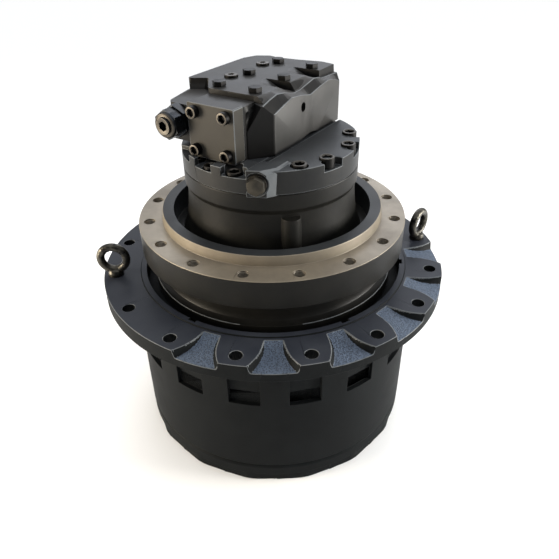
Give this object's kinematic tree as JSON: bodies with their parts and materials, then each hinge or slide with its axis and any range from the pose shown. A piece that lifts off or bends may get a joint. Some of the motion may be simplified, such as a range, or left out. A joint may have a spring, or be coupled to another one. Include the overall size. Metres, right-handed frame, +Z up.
{
  "type": "excavator final drive",
  "caption": "Hydraulic track drive for an excavator: travel motor with valve block, planetary gear drum and sprocket flange.",
  "frame": {"origin": "middle of the end cover's bottom face, on the drive axis", "axes": "+Z up along the drive axis, from the end cover to the motor and its valve block; -Y towards the camera of the picture"},
  "size_m": [0.6171, 0.613, 0.6429],
  "materials": {
    "black_paint": "satin black paint over cast iron, a little dusty",
    "grey_cast": "painted rough sand-cast surface, blue-grey, with machined pads",
    "machined_steel": "turned and ground steel",
    "gear_steel": "case-hardened ground gear steel",
    "dark_steel": "blackened steel, oily shine",
    "bearing_bronze": "fine-turned bronze"
  },
  "bodies": {
    "spindle_side": {"spindle_housing": "black_paint", "rear_cover": "black_paint", "cover_screw_1": "dark_steel", "cover_screw_2": "dark_steel", "cover_screw_3": "dark_steel", "cover_screw_4": "dark_steel", "cover_screw_5": "dark_steel", "cover_screw_6": "dark_steel", "cover_screw_7": "dark_steel", "lug_plug": "dark_steel", "valve_block": "black_paint", "side_plate": "black_paint", "side_plate_screw_1": "dark_steel", "side_plate_screw_2": "dark_steel", "side_plate_screw_3": "dark_steel", "side_plate_screw_4": "dark_steel", "relief_valve": "dark_steel", "top_bolt_1": "dark_steel", "top_bolt_2": "dark_steel", "top_bolt_3": "dark_steel", "top_bolt_4": "dark_steel", "top_bolt_5": "dark_steel", "top_bolt_6": "dark_steel", "gauge_plug_1": "dark_steel", "gauge_plug_2": "dark_steel", "ring_nut": "machined_steel", "bearing_inner_ring": "machined_steel", "seal_ring_fixed": "machined_steel", "planet_retainer": "machined_steel", "valve_plate": "bearing_bronze", "shaft_bearing": "machined_steel"},
    "drum_side": {"drum_housing": "grey_cast", "end_cover": "black_paint", "cover_plug_1": "dark_steel", "cover_plug_2": "dark_steel", "cover_plug_3": "dark_steel", "eye_bolt_1": "dark_steel", "eye_bolt_2": "dark_steel", "bearing_outer_ring": "machined_steel", "seal_ring_turning": "machined_steel"},
    "first_carrier": {"carrier_1": "machined_steel", "sun_gear_2": "gear_steel"},
    "motor_rotor": {"motor_shaft": "machined_steel", "cylinder_block": "bearing_bronze", "sun_gear_1": "gear_steel"},
    "first_planet_1": {"planet_1_1": "gear_steel"},
    "first_planet_2": {"planet_1_2": "gear_steel"},
    "first_planet_3": {"planet_1_3": "gear_steel"},
    "second_planet_1": {"planet_2_1": "gear_steel"},
    "second_planet_2": {"planet_2_2": "gear_steel"},
    "second_planet_3": {"planet_2_3": "gear_steel"},
    "second_planet_4": {"planet_2_4": "gear_steel"},
    "lower_rollers": {"roller_row_lower": "machined_steel"},
    "upper_rollers": {"roller_row_upper": "machined_steel"},
    "spool": {"counterbalance_spool": "machined_steel"},
    "brake": {"brake_piston": "machined_steel"},
    "swash": {"swash_plate": "machined_steel"}
  },
  "joints": [
    {"name": "drum_spin", "type": "hinge", "parent": "spindle_side", "child": "drum_side", "pos_m": [0, 0, 0.24], "axis": [0, 0, 1], "continuous": true},
    {"name": "carrier_spin", "type": "hinge", "parent": "spindle_side", "child": "first_carrier", "pos_m": [0, 0, 0.09], "axis": [0, 0, 1], "continuous": true},
    {"name": "first_planet_spin_1", "type": "hinge", "parent": "first_carrier", "child": "first_planet_1", "pos_m": [0, 0.12, 0.064], "axis": [0, 0, 1], "continuous": true},
    {"name": "first_planet_spin_2", "type": "hinge", "parent": "first_carrier", "child": "first_planet_2", "pos_m": [-0.10392, -0.06, 0.064], "axis": [0, 0, 1], "continuous": true},
    {"name": "first_planet_spin_3", "type": "hinge", "parent": "first_carrier", "child": "first_planet_3", "pos_m": [0.10392, -0.06, 0.064], "axis": [0, 0, 1], "continuous": true},
    {"name": "second_planet_spin_1", "type": "hinge", "parent": "spindle_side", "child": "second_planet_1", "pos_m": [0.09051, 0.09051, 0.131], "axis": [0, 0, 1], "continuous": true},
    {"name": "second_planet_spin_2", "type": "hinge", "parent": "spindle_side", "child": "second_planet_2", "pos_m": [-0.09051, 0.09051, 0.131], "axis": [0, 0, 1], "continuous": true},
    {"name": "second_planet_spin_3", "type": "hinge", "parent": "spindle_side", "child": "second_planet_3", "pos_m": [-0.09051, -0.09051, 0.131], "axis": [0, 0, 1], "continuous": true},
    {"name": "second_planet_spin_4", "type": "hinge", "parent": "spindle_side", "child": "second_planet_4", "pos_m": [0.09051, -0.09051, 0.131], "axis": [0, 0, 1], "continuous": true},
    {"name": "motor_spin", "type": "hinge", "parent": "spindle_side", "child": "motor_rotor", "pos_m": [0, 0, 0.3], "axis": [0, 0, 1], "continuous": true},
    {"name": "lower_roller_spin", "type": "hinge", "parent": "spindle_side", "child": "lower_rollers", "pos_m": [0, 0, 0.22], "axis": [0, 0, 1], "continuous": true},
    {"name": "upper_roller_spin", "type": "hinge", "parent": "spindle_side", "child": "upper_rollers", "pos_m": [0, 0, 0.26], "axis": [0, 0, 1], "continuous": true},
    {"name": "spool_slide", "type": "slide", "parent": "spindle_side", "child": "spool", "axis": [0.5505, 0.8348, 0], "range_m": [-0.008, 0.008]},
    {"name": "brake_release", "type": "slide", "parent": "spindle_side", "child": "brake", "axis": [0, 0, 1], "range_m": [0, 0.003]},
    {"name": "swash_tilt", "type": "hinge", "parent": "spindle_side", "child": "swash", "pos_m": [0, 0, 0.366], "axis": [0.8348, -0.5505, 0], "range_deg": [0, 7]}
  ],
  "couplings": [
    {"joint": "carrier_spin", "follows": "drum_spin", "ratio": -3},
    {"joint": "first_planet_spin_1", "follows": "drum_spin", "ratio": 10.667},
    {"joint": "first_planet_spin_2", "follows": "drum_spin", "ratio": 10.667},
    {"joint": "first_planet_spin_3", "follows": "drum_spin", "ratio": 10.667},
    {"joint": "second_planet_spin_1", "follows": "drum_spin", "ratio": 3},
    {"joint": "second_planet_spin_2", "follows": "drum_spin", "ratio": 3},
    {"joint": "second_planet_spin_3", "follows": "drum_spin", "ratio": 3},
    {"joint": "second_planet_spin_4", "follows": "drum_spin", "ratio": 3},
    {"joint": "motor_spin", "follows": "drum_spin", "ratio": -19},
    {"joint": "lower_roller_spin", "follows": "drum_spin", "ratio": 0.52603},
    {"joint": "upper_roller_spin", "follows": "drum_spin", "ratio": 0.52603}
  ]
}
